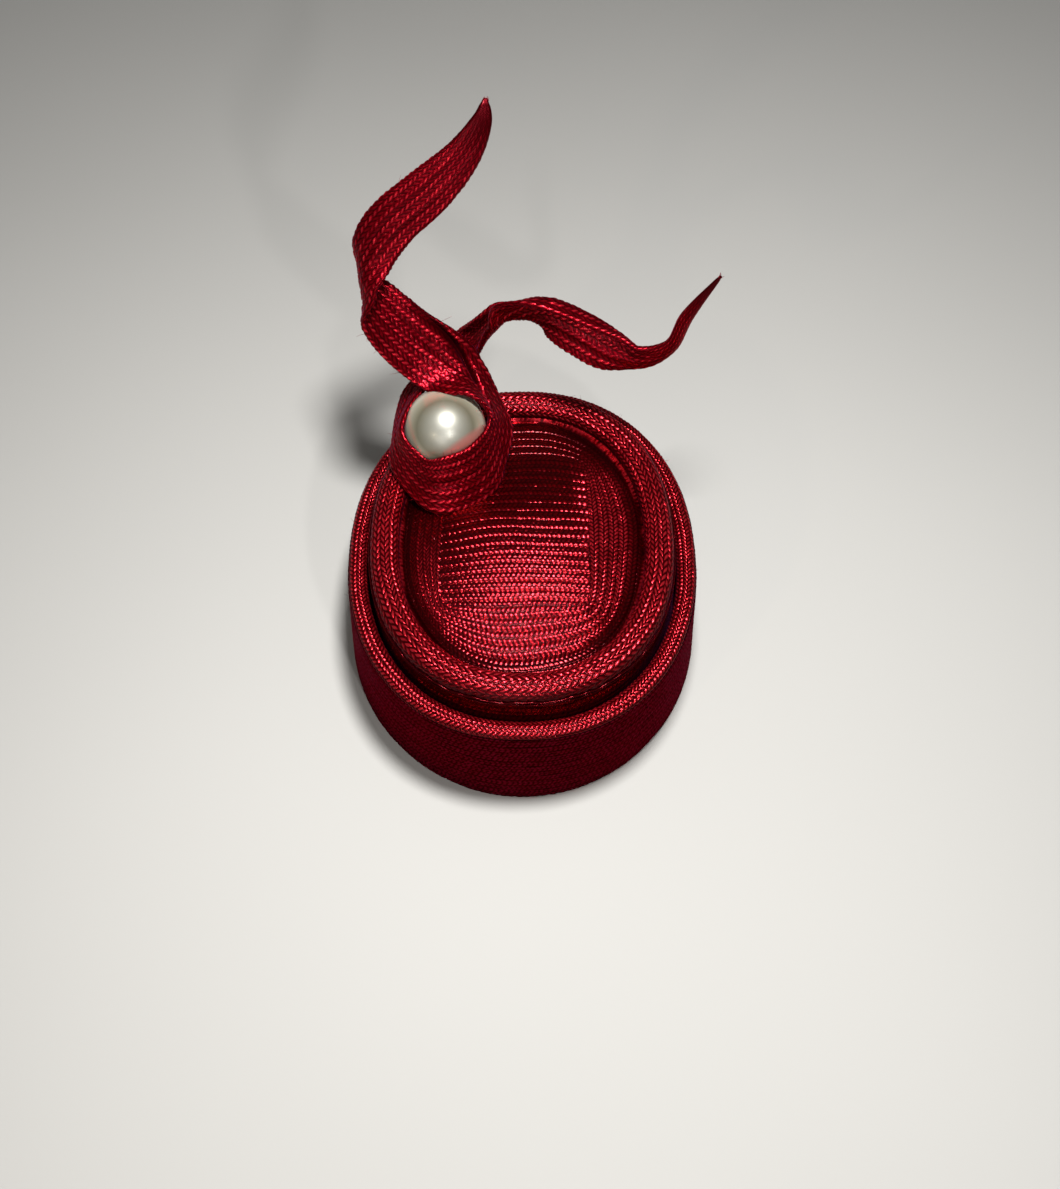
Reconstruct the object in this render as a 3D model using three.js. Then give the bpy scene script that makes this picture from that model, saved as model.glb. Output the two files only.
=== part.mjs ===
// A braided pork pie hat: a blocked crown with a rolled ridge and a sunken tip, a brim turned
// straight up round it, and a ribbon looped round a large pearl.
// Millimetres, +Z up. The hat stands on its rim at z = 0 with its front towards -Y, and the
// Z axis runs up the middle of the head opening.
import * as THREE from 'three';

// Driving dimensions.
const BRAID = 2.0; // thickness of the braided straw
const GAP = 0.3; // clearance between neighbouring pieces
const RIM_ROUND = 1.6; // rounding where the brim turns up from the rim
const BRIM_ROLL = 4.3; // radius of the rolled edge of the brim
const BRIM_LAP = 11.2; // how far down the inside the rolled edge of the brim reaches
const RIDGE_ROLL = 6.4; // radius of the roll round the top of the crown
const TIP_DOME = 3.1; // rise of the tip from its crease to its middle
const RIBBON_THICK = 2.4; // a tubular braid pressed flat
const PEARL_RADIUS = 17.2;
const PEARL_CENTRE = [-32.6, 43, 87.5];

// The rings that the crown and the brim are lofted between. A roundness of 2 is an ellipse.
const RINGS = {
  opening: { halfX: 66.8, halfY: 82.8, z: 0, roundness: 2.1 },
  rim: { halfX: 79.6, halfY: 91.4, z: 0, roundness: 2.0 },
  brimTop: { halfX: 71.8, halfY: 90.2, z: 60, roundness: 2.2 },
  foot: { halfX: 69.2, halfY: 85.2, z: BRAID + GAP, roundness: 2.1 },
  wallTop: { halfX: 65.2, halfY: 82.2, z: 67, roundness: 2.24 },
  ridge: { halfX: 59.4, halfY: 76.4, z: 73.4, roundness: 2.24 },
  crease: { halfX: 50.6, halfY: 67.0, z: 64.2, roundness: 2.2 },
};

// How finely the shells are divided, and how far round each rolled edge turns (degrees).
const AROUND = 56; // facets round the hat
const ROLL_STEPS = 8; // rows over each rolled edge
const CROWN_WALL = [0, 0.3, 0.6, 0.85]; // rows up the crown, as shares of its wall
const TIP_ROWS = [1, 0.9, 0.72, 0.48, 0.24]; // rows in to the middle of the tip
const BRIM_OUTSIDE = [0, 0.3, 0.6, 0.88]; // rows up the outside of the brim
const BRIM_INSIDE = [0, 0.35, 0.7, 1]; // rows down the inside of the brim
const RIDGE_TURN = { from: -8, to: 168 };
const BRIM_TURN = { from: 0, to: 225 };

// The ribbon from its left end, round the pearl, to its right end: the middle of each section,
// its width, the direction from its lower to its upper edge, how far the section curls (degrees)
// and how far a narrow lip along the upper edge folds over (degrees).
const RIBBON = [
  { x: -12.5, y: 93.4, z: 221, wide: 2.5, across: [0.8, -0.1, -0.6], curl: 0, lip: 0 },
  { x: -14.5, y: 89, z: 213, wide: 9, across: [0.8, -0.1, -0.6], curl: 20, lip: 0 },
  { x: -22.5, y: 84, z: 201, wide: 15, across: [0.75, -0.1, -0.65], curl: 20, lip: 0 },
  { x: -36, y: 80, z: 188, wide: 20, across: [0.7, -0.2, -0.7], curl: 20, lip: 0 },
  { x: -51, y: 77, z: 175, wide: 21, across: [0.75, -0.3, -0.6], curl: 30, lip: 0 },
  { x: -60.5, y: 74, z: 162, wide: 21, across: [0.8, -0.5, -0.2], curl: 60, lip: 0 },
  { x: -64, y: 71, z: 149, wide: 22, across: [0.2, -0.6, 0.75], curl: 90, lip: 0 },
  { x: -60.5, y: 70, z: 136, wide: 25, across: [-0.6, -0.6, 0.1], curl: 60, lip: 0 },
  { x: -49, y: 67, z: 122, wide: 28, across: [-0.6, -0.6, -0.45], curl: 30, lip: 0 },
  { x: -35, y: 64.5, z: 112, wide: 27, across: [-0.55, -0.5, -0.4], curl: 20, lip: 0 },
  { x: -18.8, y: 58, z: 103.6, wide: 23, across: [-0.4, -0.5, 0.4], curl: 50, lip: 0 },
  { x: -10.5, y: 49.5, z: 90.5, wide: 22, across: [-0.42, -0.1, 0.9], curl: 20, lip: 0 },
  { x: -11.4, y: 39.6, z: 83.3, wide: 24.5, across: [-0.33, 0, 0.94], curl: 10, lip: 0 },
  { x: -18.3, y: 25, z: 81.5, wide: 28.5, across: [-0.4, 0.16, 0.9], curl: 0, lip: 0 },
  { x: -35.2, y: 18.6, z: 79.8, wide: 27, across: [-0.05, 0.45, 0.89], curl: 0, lip: 0 },
  { x: -46.7, y: 25.3, z: 80.7, wide: 20, across: [0.06, 0.5, 0.85], curl: 0, lip: 0 },
  { x: -54, y: 38.3, z: 88.2, wide: 18.5, across: [0.25, 0.2, 0.9], curl: 0, lip: 0 },
  { x: -47.8, y: 61, z: 93.3, wide: 19, across: [0.6, -0.1, 0.6], curl: 0, lip: 0 },
  { x: -36, y: 72.5, z: 96.5, wide: 17, across: [0.6, -0.35, 0.15], curl: 0, lip: 0 },
  { x: -23.3, y: 80.5, z: 103, wide: 16, across: [0.55, -0.6, -0.1], curl: 30, lip: 0 },
  { x: -12.5, y: 76, z: 117.5, wide: 16, across: [0.4, -0.8, 0.2], curl: 50, lip: 0 },
  { x: -2.5, y: 71, z: 130.5, wide: 19, across: [0.2, -0.5, 0.8], curl: 60, lip: -60 },
  { x: 10.5, y: 66, z: 136, wide: 26, across: [0.1, 0.2, 0.9], curl: 40, lip: -120 },
  { x: 26, y: 61, z: 130.5, wide: 28, across: [0.2, 0.4, 0.8], curl: 30, lip: -125 },
  { x: 39, y: 57, z: 124.5, wide: 25, across: [0.2, 0.4, 0.7], curl: 40, lip: -110 },
  { x: 51.5, y: 53, z: 123, wide: 16, across: [0, 0.1, 0.9], curl: 60, lip: -60 },
  { x: 61.5, y: 50, z: 133, wide: 9.5, across: [-0.6, 0.1, 0.5], curl: 70, lip: 0 },
  { x: 68, y: 47, z: 152.5, wide: 8, across: [-0.8, 0.2, 0.3], curl: 60, lip: 0 },
  { x: 78, y: 44, z: 176, wide: 1.5, across: [-0.7, 0.2, 0.5], curl: 0, lip: 0 },
];
const RIBBON_STEPS = 3; // sections between one row and the next
const RIBBON_ACROSS = 7; // points across each face
const RIBBON_EDGE = 0.5; // thickness along the two edges, as a share of the whole
const RIBBON_POINT = 0.6; // most thickness that a narrow end has, as a share of its width
const LIP_START = 0.12; // where the lip begins, as a share of the width from the middle
const LIP_SPAN = 0.16; // share of the width that the lip's fold takes

// ---- Crown and brim: shells lofted from rings ----

// A named ring, moved outwards and upwards.
function at(name, out, up) {
  const ring = RINGS[name];
  return {
    halfX: ring.halfX + out,
    halfY: ring.halfY + out,
    z: ring.z + up,
    roundness: ring.roundness,
  };
}

// The ring a share t of the way from a to b.
function between(a, b, t) {
  const mixed = {};
  for (const key of Object.keys(a)) mixed[key] = THREE.MathUtils.lerp(a[key], b[key], t);
  return mixed;
}

// A rolled edge below the named ring: 0 degrees faces out, 90 is the top and 180 faces in.
function roll(name, radius, turn) {
  const rows = [];
  for (let i = 0; i <= ROLL_STEPS; i += 1) {
    const degrees = THREE.MathUtils.lerp(turn.from, turn.to, i / ROLL_STEPS);
    const angle = THREE.MathUtils.degToRad(degrees);
    rows.push(at(name, radius * Math.cos(angle), radius * (Math.sin(angle) - 1)));
  }
  return rows;
}

// The other face of a sheet: each row moved inwards, square to the sheet, by its thickness.
function inset(rows, thickness) {
  return rows.map((row, i) => {
    const before = rows[Math.max(i - 1, 0)];
    const after = rows[Math.min(i + 1, rows.length - 1)];
    const along = new THREE.Vector2(after.halfX - before.halfX, after.z - before.z).normalize();
    const cut = i === 0 ? { ...row } : { ...row, z: row.z + thickness * along.x };
    cut.halfX -= thickness * along.y;
    cut.halfY -= thickness * along.y;
    return cut;
  });
}

// The points of one ring.
function ringPoints(ring) {
  const points = [];
  for (let i = 0; i < AROUND; i += 1) {
    const angle = (2 * Math.PI * i) / AROUND;
    const c = Math.cos(angle);
    const s = Math.sin(angle);
    const power = 2 / ring.roundness;
    points.push([
      ring.halfX * Math.sign(c) * Math.abs(c) ** power,
      ring.halfY * Math.sign(s) * Math.abs(s) ** power,
      ring.z,
    ]);
  }
  return points;
}

// A closed mesh over rows of points, each row a closed loop. The loops close on themselves from
// last to first, or, where poles are given, on one point before the first and one after the last.
function closedMesh(loops, poles) {
  const count = loops[0].length;
  const positions = loops.flat();
  const faces = [];
  const last = poles ? loops.length - 1 : loops.length;
  for (let i = 0; i < last; i += 1) {
    const here = i * count;
    const there = ((i + 1) % loops.length) * count;
    for (let k = 0; k < count; k += 1) {
      const next = (k + 1) % count;
      faces.push(here + k, here + next, there + next);
      faces.push(here + k, there + next, there + k);
    }
  }
  if (poles) {
    const first = positions.push(poles[0]) - 1;
    const final = positions.push(poles[1]) - 1;
    const lastLoop = (loops.length - 1) * count;
    for (let k = 0; k < count; k += 1) {
      const next = (k + 1) % count;
      faces.push(first, next, k);
      faces.push(final, lastLoop + k, lastLoop + next);
    }
  }
  const geometry = new THREE.BufferGeometry();
  geometry.setAttribute('position', new THREE.Float32BufferAttribute(positions.flat(), 3));
  geometry.setIndex(faces);
  geometry.computeVertexNormals();
  return geometry;
}

// The crown's outer face from its foot over the ridge to the middle of the tip.
function crownFace() {
  const rows = CROWN_WALL.map((share) => between(RINGS.foot, RINGS.wallTop, share));
  rows.push(...roll('ridge', RIDGE_ROLL, RIDGE_TURN));
  const crease = RINGS.crease;
  for (const share of TIP_ROWS) {
    rows.push({
      halfX: crease.halfX * share,
      halfY: crease.halfY * share,
      z: crease.z + TIP_DOME * (1 - share ** 2),
      roundness: crease.roundness,
    });
  }
  return rows;
}

function crownGeometry() {
  const outer = crownFace();
  const inner = inset(outer, BRAID).reverse();
  const top = RINGS.crease.z + TIP_DOME;
  const loops = [...inner, ...outer].map(ringPoints);
  return closedMesh(loops, [[0, 0, top - BRAID], [0, 0, top]]);
}

// The brim's section: the flat rim, the outer face, the rolled edge, the inner face and the floor.
function brimGeometry() {
  const rimSide = at('rim', 0, RIM_ROUND);
  const rollSide = at('brimTop', BRIM_ROLL, -BRIM_ROLL);
  const rollFoot = at('brimTop', BRIM_ROLL - BRAID, -BRIM_LAP);
  const floorSide = at('rim', -BRAID - RIM_ROUND, BRAID);
  const wallFoot = at('rim', -BRAID, BRAID + RIM_ROUND);
  const section = [
    at('opening', 0, 0),
    at('rim', -RIM_ROUND, 0),
    ...BRIM_OUTSIDE.map((share) => between(rimSide, rollSide, share)),
    ...roll('brimTop', BRIM_ROLL, BRIM_TURN),
    ...BRIM_INSIDE.map((share) => between(rollFoot, wallFoot, share)),
    floorSide,
    at('opening', 0, BRAID),
  ];
  return closedMesh(section.map(ringPoints));
}

// ---- Ribbon: a flat braid swept through its table of sections ----

// A smooth curve through one column of a table, at row number t.
function column(rows, read, t) {
  const row = Math.min(Math.floor(t), rows.length - 2);
  const value = (i) => {
    if (i < 0) return 2 * read(rows[0]) - read(rows[1]);
    if (i >= rows.length) return 2 * read(rows.at(-1)) - read(rows.at(-2));
    return read(rows[i]);
  };
  const [a, b, c, d] = [value(row - 1), value(row), value(row + 1), value(row + 2)];
  const u = t - row;
  const cubic = (3 * (b - c) + d - a) * u + 2 * a - 5 * b + 4 * c - d;
  return 0.5 * ((cubic * u + c - a) * u + 2 * b);
}

function vectorColumn(rows, reads, t) {
  return new THREE.Vector3(...reads.map((read) => column(rows, read, t)));
}

// The mid-line of one section, flat in its own plane: [across, off the face] pairs with headings.
function curledLine(wide, curl, lip) {
  const step = wide / (RIBBON_ACROSS - 1);
  const line = [];
  let across = 0;
  let off = 0;
  let previous = null;
  for (let k = 0; k < RIBBON_ACROSS; k += 1) {
    const share = k / (RIBBON_ACROSS - 1) - 0.5;
    const fold = THREE.MathUtils.clamp((share - LIP_START) / LIP_SPAN, 0, 1);
    const heading = THREE.MathUtils.degToRad(curl * share + lip * fold);
    if (previous !== null) {
      const middle = (heading + previous) / 2;
      across += step * Math.cos(middle);
      off += step * Math.sin(middle);
    }
    line.push({ across, off, heading });
    previous = heading;
  }
  const centre = { across: 0, off: 0 };
  for (const point of line) {
    centre.across += point.across / RIBBON_ACROSS;
    centre.off += point.off / RIBBON_ACROSS;
  }
  return line.map((point) => ({
    across: point.across - centre.across,
    off: point.off - centre.off,
    heading: point.heading,
  }));
}

// The outline of the ribbon's section at row number t, placed in space.
function ribbonSection(t) {
  const place = (u) => vectorColumn(RIBBON, [(row) => row.x, (row) => row.y, (row) => row.z], u);
  const side = (axis) => (row) => row.across[axis];
  const middle = place(t);
  const step = 0.05; // rows either side that give the ribbon's direction here
  const ahead = Math.min(t + step, RIBBON.length - 1);
  const along = place(ahead).sub(place(Math.max(t - step, 0))).normalize();
  const across = vectorColumn(RIBBON, [side(0), side(1), side(2)], t);
  across.addScaledVector(along, -across.dot(along)).normalize();
  const off = new THREE.Vector3().crossVectors(across, along);
  const wide = column(RIBBON, (row) => row.wide, t);
  const curl = column(RIBBON, (row) => row.curl, t);
  const lip = column(RIBBON, (row) => row.lip, t);
  const half = Math.min(RIBBON_THICK, RIBBON_POINT * wide) / 2;
  const line = curledLine(wide, curl, lip);
  const face = (sign) => line.map((point, k) => {
    const share = k === 0 || k === line.length - 1 ? RIBBON_EDGE : 1;
    const lift = sign * half * share;
    return middle.clone()
      .addScaledVector(across, point.across - lift * Math.sin(point.heading))
      .addScaledVector(off, point.off + lift * Math.cos(point.heading))
      .toArray();
  });
  return [...face(1), ...face(-1).reverse()];
}

function ribbonGeometry() {
  const loops = [];
  const steps = (RIBBON.length - 1) * RIBBON_STEPS;
  for (let i = 0; i <= steps; i += 1) loops.push(ribbonSection(i / RIBBON_STEPS));
  const middle = (loop) => loop
    .reduce((sum, point) => sum.map((value, axis) => value + point[axis]), [0, 0, 0])
    .map((value) => value / loop.length);
  return closedMesh(loops, [middle(loops[0]), middle(loops.at(-1))]);
}

// ---- Pearl ----

function pearlGeometry() {
  const rows = 10;
  const sides = 20;
  const loops = [];
  for (let i = 1; i < rows; i += 1) {
    const fall = (Math.PI * i) / rows;
    const loop = [];
    for (let k = 0; k < sides; k += 1) {
      const turn = (2 * Math.PI * k) / sides;
      loop.push([
        PEARL_RADIUS * Math.sin(fall) * Math.cos(turn),
        PEARL_RADIUS * Math.sin(fall) * Math.sin(turn),
        -PEARL_RADIUS * Math.cos(fall),
      ]);
    }
    loops.push(loop);
  }
  return closedMesh(loops, [[0, 0, -PEARL_RADIUS], [0, 0, PEARL_RADIUS]]);
}

// ---- Materials and assembly ----

const braidRed = new THREE.MeshStandardMaterial({ color: 0x9c0010, roughness: 0.38, metalness: 0 });
const ribbonRed = new THREE.MeshStandardMaterial({ color: 0x97021a, roughness: 0.34, metalness: 0 });
const pearlIvory = new THREE.MeshStandardMaterial({ color: 0xe6e0d4, roughness: 0.2, metalness: 0 });

function piece(name, geometry, material) {
  const mesh = new THREE.Mesh(geometry, material);
  mesh.name = name;
  return mesh;
}

const hat = new THREE.Group();
hat.add(piece('crown', crownGeometry(), braidRed));
hat.add(piece('brim', brimGeometry(), braidRed));
hat.add(piece('ribbon', ribbonGeometry(), ribbonRed));
const pearl = piece('pearl', pearlGeometry(), pearlIvory);
pearl.position.set(...PEARL_CENTRE);
hat.add(pearl);

export default hat;
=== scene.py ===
import math

import bpy
import numpy as np
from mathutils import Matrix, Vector

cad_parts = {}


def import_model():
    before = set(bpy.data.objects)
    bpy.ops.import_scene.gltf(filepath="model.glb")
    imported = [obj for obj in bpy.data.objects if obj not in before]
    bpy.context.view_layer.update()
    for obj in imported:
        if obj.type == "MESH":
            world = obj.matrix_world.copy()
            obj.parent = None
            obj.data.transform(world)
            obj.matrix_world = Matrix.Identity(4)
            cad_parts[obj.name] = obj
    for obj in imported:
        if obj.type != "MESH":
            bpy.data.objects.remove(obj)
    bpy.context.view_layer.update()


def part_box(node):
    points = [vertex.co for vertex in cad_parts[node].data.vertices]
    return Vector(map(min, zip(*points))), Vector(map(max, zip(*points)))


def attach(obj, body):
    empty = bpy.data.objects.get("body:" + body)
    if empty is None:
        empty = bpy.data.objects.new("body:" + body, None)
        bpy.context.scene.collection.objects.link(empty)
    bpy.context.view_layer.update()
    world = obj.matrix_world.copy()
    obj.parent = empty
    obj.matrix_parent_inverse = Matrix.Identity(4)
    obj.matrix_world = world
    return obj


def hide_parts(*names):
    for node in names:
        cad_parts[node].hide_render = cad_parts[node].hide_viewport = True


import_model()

MM = 0.001

# ---- Sizes shared with the solids ----

BRAID = 2.0  # thickness of the braided straw
GAP = 0.3  # clearance between neighbouring pieces
RIM_ROUND = 1.6  # rounding where the brim turns up from the rim
BRIM_ROLL = 4.3  # radius of the rolled edge of the brim
BRIM_LAP = 11.2  # how far down the inside the rolled edge of the brim reaches
RIDGE_ROLL = 6.4  # radius of the roll round the top of the crown
TIP_DOME = 3.1  # rise of the tip's underside from the crease to its middle
RIBBON_THICK = 2.4  # a tubular braid pressed flat
PEARL_RADIUS = 17.2

# name: half width, half length, height, roundness (2 is an ellipse)
RINGS = {
    "opening": (66.8, 82.8, 0, 2.1),
    "rim": (79.6, 91.4, 0, 2.0),
    "brim_top": (71.8, 90.2, 60, 2.2),
    "foot": (69.2, 85.2, BRAID + GAP, 2.1),
    "wall_top": (65.2, 82.2, 67, 2.24),
    "ridge": (59.4, 76.4, 73.4, 2.24),
    "crease": (50.6, 67.0, 64.2, 2.2),
}

# ---- Sizes of the braid ----

STITCH = 2.15  # along a row of the sewn braid
ROW = 4.7  # from one sewn row to the next; each row shows two columns of stitches
RELIEF = 0.5  # height of a stitch
LAP = 1.0  # each sewn row lies this much over the next
FLOOR_CLEAR = 0.05  # height over the floor at which the rim's lowest stitches are pressed flat
ROW_CROWN = 0.8  # height of the middle of a sewn row over its edges, at the front of the tip
TURN_STEPS = 1440  # steps in which a closed curve is measured

# How far a stitch leans along its row over one column, in stitches.
SEWN_LEAN = 0.5
TUBE_LEAN = 0.85

# How flat a stitch is across: 2 is round.
SEWN_BUNDLE = 5.0
TUBE_BUNDLE = 2.2


def scatter(a, b, seed):
    """A fixed random number from 0 to 1 for each pair of whole numbers."""
    value = np.sin(a * 12.9898 + b * 78.233 + seed * 37.719) * 43758.5453
    return value - np.floor(value)


def braid_height(along, across, lean, around=None, bundle=SEWN_BUNDLE):
    """Height from 0 to 1 of a braid, given the stitches along it and the columns across it.

    Stitches in neighbouring columns lean opposite ways and are staggered. Each is arched from
    end to end. around is the number of stitches in a closed row."""
    column = np.floor(across)
    v = across - column - 0.5
    odd = np.mod(column, 2)
    u = along + (1 - 2 * odd) * lean * v + 0.5 * odd
    stitch = np.round(u)
    w = u - stitch
    if around is not None:
        stitch = np.mod(stitch, around)
    strand = np.clip(1 - np.abs(w / 0.46) ** bundle, 0, 1) ** 0.8
    v = v + 0.1 * (scatter(stitch, column, 3) - 0.5)
    arch = np.clip(1 - np.abs(1.92 * v) ** 3.5, 0, 1)
    lift = 1 + 0.3 * (scatter(stitch, column, 1) - 0.5)
    return strand * arch * lift


# ---- Meshes ----


def mesh_from_grid(name, points, along, across, relief):
    """A quad mesh over a grid of points whose rows are closed, with the braid's coordinates as UVs.

    along and across have one column more than points, for the far side of the seam."""
    rows, columns = points.shape[:2]
    index = np.arange(rows * columns).reshape(rows, columns)
    grid = np.hstack([index, index[:, :1]])
    faces = np.stack([c.ravel() for c in pick(grid)], axis=1)
    uvs = np.stack([np.stack([u.ravel() for u in pick(along)], axis=1),
                    np.stack([v.ravel() for v in pick(across)], axis=1)], axis=2)
    return mesh_object(name, points.reshape(-1, 3), faces, uvs, relief.ravel())


def pick(values):
    """The value at each corner of each cell, from a grid of corner values."""
    return values[:-1, :-1], values[:-1, 1:], values[1:, 1:], values[1:, :-1]


def mesh_object(name, points, faces, uvs, relief):
    mesh = bpy.data.meshes.new(name)
    mesh.vertices.add(len(points))
    mesh.vertices.foreach_set("co", (points * MM).astype(np.float32).ravel())
    mesh.loops.add(faces.size)
    mesh.loops.foreach_set("vertex_index", faces.astype(np.int32).ravel())
    mesh.polygons.add(len(faces))
    mesh.polygons.foreach_set("loop_start", np.arange(0, faces.size, faces.shape[1], dtype=np.int32))
    mesh.update(calc_edges=True)
    mesh.polygons.foreach_set("use_smooth", np.ones(len(faces), dtype=bool))
    layer = mesh.uv_layers.new(name="braid")
    layer.data.foreach_set("uv", uvs.astype(np.float32).ravel())
    attribute = mesh.attributes.new("relief", "FLOAT", "POINT")
    attribute.data.foreach_set("value", relief.astype(np.float32))
    obj = bpy.data.objects.new(name, mesh)
    bpy.context.scene.collection.objects.link(obj)
    return obj


def surface_normals(points):
    """Unit normals of a grid of points whose rows are closed, from its steps in both directions."""
    du = np.roll(points, -1, axis=1) - np.roll(points, 1, axis=1)
    dv = np.gradient(points, axis=0)
    normal = np.cross(du, dv)
    return normal / np.maximum(np.linalg.norm(normal, axis=2, keepdims=True), 1e-9)


# ---- Rings and profiles ----


def ring_at(name, out=0.0, up=0.0):
    half_x, half_y, z, roundness = RINGS[name]
    return np.array([half_x + out, half_y + out, z + up, roundness])


def ring_points(rings, count):
    """Points along each ring, evenly spaced, the first on +X."""
    turn = np.linspace(0, 2 * np.pi, TURN_STEPS + 1)
    share = np.linspace(0, 1, count, endpoint=False)
    c, s = np.cos(turn), np.sin(turn)
    out = np.zeros((len(rings), count, 3))
    for i, (half_x, half_y, z, roundness) in enumerate(rings):
        x = half_x * np.sign(c) * np.abs(c) ** (2 / roundness)
        y = half_y * np.sign(s) * np.abs(s) ** (2 / roundness)
        length = np.concatenate([[0], np.cumsum(np.hypot(np.diff(x), np.diff(y)))])
        at = share * length[-1]
        out[i, :, 0] = np.interp(at, length, x)
        out[i, :, 1] = np.interp(at, length, y)
        out[i, :, 2] = z
    return out


def roll_rings(name, radius, start, end, steps):
    """Rings over a rolled edge: 0 degrees faces out, 90 is the top and 180 faces in."""
    angles = np.radians(np.linspace(start, end, steps + 1))
    return [ring_at(name, radius * math.cos(a), radius * (math.sin(a) - 1)) for a in angles]


def resample(rings, spacing):
    """Rings spaced along the profile that the given rings mark; returns them and their distances."""
    rings = np.array(rings)
    steps = np.hypot(np.diff(rings[:, 0]), np.diff(rings[:, 2]))
    length = np.concatenate([[0], np.cumsum(steps)])
    count = max(int(round(length[-1] / spacing)), 1)
    at = np.linspace(0, length[-1], count + 1)
    found = np.stack([np.interp(at, length, rings[:, k]) for k in range(4)], axis=1)
    return found, at


def braid_band(name, rings, at, count, stitches, column, lean, relief=RELIEF, rows=LAP, clear=1.0):
    """A closed band of braid over rings: its stitches run round it, its columns up it.

    rows is how far each sewn row laps over the next, 0 for one piece of braid. clear says for
    each ring how plainly its stitches stand out, from 0 to 1; where they stand out less their colour is
    darker, which is painted shade."""
    points = ring_points(rings, count)
    share = np.linspace(0, 1, count + 1)
    along = np.broadcast_to(share * stitches, (len(rings), count + 1))
    across = np.broadcast_to((at / column)[:, None], along.shape)
    wave = 0.12 * np.sin(2 * np.pi * (5 * share + 0.13 * across))
    across = across + wave + 0.07 * np.sin(2 * np.pi * 17 * share)
    along = along + 0.25 * np.sin(2 * np.pi * 9 * share)
    lap = 0
    if rows:
        row = np.floor(across / 2)
        along = along + scatter(row, 0, 5)
        in_row = across / 2 - row
        lap = rows * (0.5 - in_row - 0.35 * np.abs(2 * in_row - 1) ** 6)
    around, bundle = (None, SEWN_BUNDLE) if rows else (stitches, TUBE_BUNDLE)
    height = braid_height(along, across, lean, around, bundle)
    height = height * np.broadcast_to(clear, len(rings))[:, None]
    rise = (height - 0.5) * relief + lap
    normals = surface_normals(points)
    moved = points + normals * rise[:, :-1, None]
    moved[..., 2] = np.maximum(moved[..., 2], FLOOR_CLEAR)
    return mesh_from_grid(name, moved, along, across, height[:, :-1])


# ---- Materials ----


def new_material(name):
    material = bpy.data.materials.new(name)
    material.use_nodes = True
    nodes = material.node_tree.nodes
    return material, nodes, material.node_tree.links, nodes["Principled BSDF"]


def math_node(nodes, links, operation, a, b=None):
    node = nodes.new("ShaderNodeMath")
    node.operation = operation
    for socket, value in zip(node.inputs, (a, b)):
        if value is None:
            continue
        if isinstance(value, (int, float)):
            socket.default_value = value
        else:
            links.new(value, socket)
    return node.outputs[0]


def ramp_node(nodes, links, source, stops):
    node = nodes.new("ShaderNodeValToRGB")
    links.new(source, node.inputs[0])
    elements = node.color_ramp.elements
    while len(elements) < len(stops):
        elements.new(0.5)
    for element, (position, colour) in zip(elements, stops):
        element.position = position
        element.color = (*colour, 1)
    return node.outputs[0]


THREAD_STRETCH = (9.0, 0.8, 3.7)  # threads across a stitch, along it and from column to column


def braid_material(name, colours, roughness, metallic, gloss, sheen, lean_by):
    """Glossy plaited strands with fine threads along each one, coloured with painted shade between the
    stitches and a lighter, pinker painted highlight on their tops.
    """
    material, nodes, links, shader = new_material(name)
    uv = nodes.new("ShaderNodeUVMap")
    uv.uv_map = "braid"
    split = nodes.new("ShaderNodeSeparateXYZ")
    links.new(uv.outputs[0], split.inputs[0])
    along, across = split.outputs[0], split.outputs[1]
    column = math_node(nodes, links, "FLOOR", across)
    odd = math_node(nodes, links, "FLOORED_MODULO", column, 2.0)
    lean = math_node(nodes, links, "MULTIPLY_ADD", odd, -2.0 * lean_by)
    lean.node.inputs[2].default_value = lean_by
    middle = math_node(nodes, links, "SUBTRACT", math_node(nodes, links, "SUBTRACT", across, column), 0.5)
    u = math_node(nodes, links, "ADD", along, math_node(nodes, links, "MULTIPLY", lean, middle))

    threads_at = nodes.new("ShaderNodeCombineXYZ")
    links.new(u, threads_at.inputs[0])
    links.new(middle, threads_at.inputs[1])
    links.new(column, threads_at.inputs[2])
    threads = nodes.new("ShaderNodeTexNoise")
    stretch = nodes.new("ShaderNodeVectorMath")
    stretch.operation = "MULTIPLY"
    stretch.inputs[1].default_value = THREAD_STRETCH
    links.new(threads_at.outputs[0], stretch.inputs[0])
    links.new(stretch.outputs[0], threads.inputs["Vector"])
    threads.inputs["Scale"].default_value = 1.0
    threads.inputs["Detail"].default_value = 2.0

    height = nodes.new("ShaderNodeAttribute")
    height.attribute_name = "relief"
    shade = math_node(nodes, links, "MULTIPLY_ADD", threads.outputs[0], 0.35)
    shade.node.inputs[2].default_value = -0.17
    shade = math_node(nodes, links, "ADD", shade, height.outputs["Fac"])
    # The colour follows the stitch's height: painted shade low down, a painted highlight on top.
    colour = ramp_node(nodes, links, shade, list(zip((0.12, 0.55, 0.95), colours)))
    links.new(colour, shader.inputs["Base Color"])

    rough = nodes.new("ShaderNodeMapRange")
    links.new(threads.outputs[0], rough.inputs["Value"])
    rough.inputs["To Min"].default_value = roughness - 0.07
    rough.inputs["To Max"].default_value = roughness + 0.1
    links.new(rough.outputs[0], shader.inputs["Roughness"])

    bump = nodes.new("ShaderNodeBump")
    bump.inputs["Strength"].default_value = 0.3
    bump.inputs["Distance"].default_value = 0.08 * MM
    links.new(threads.outputs[0], bump.inputs["Height"])
    links.new(bump.outputs[0], shader.inputs["Normal"])
    shader.inputs["Metallic"].default_value = metallic
    shader.inputs["Specular IOR Level"].default_value = gloss
    shader.inputs["Specular Tint"].default_value = (1.0, 0.3, 0.4, 1)
    shader.inputs["Coat Weight"].default_value = gloss * 0.15
    shader.inputs["Coat Roughness"].default_value = 0.15
    shader.inputs["Sheen Weight"].default_value = sheen
    shader.inputs["Sheen Roughness"].default_value = 0.3
    shader.inputs["Sheen Tint"].default_value = (0.55, 0.1, 0.4, 1)
    return material


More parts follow.
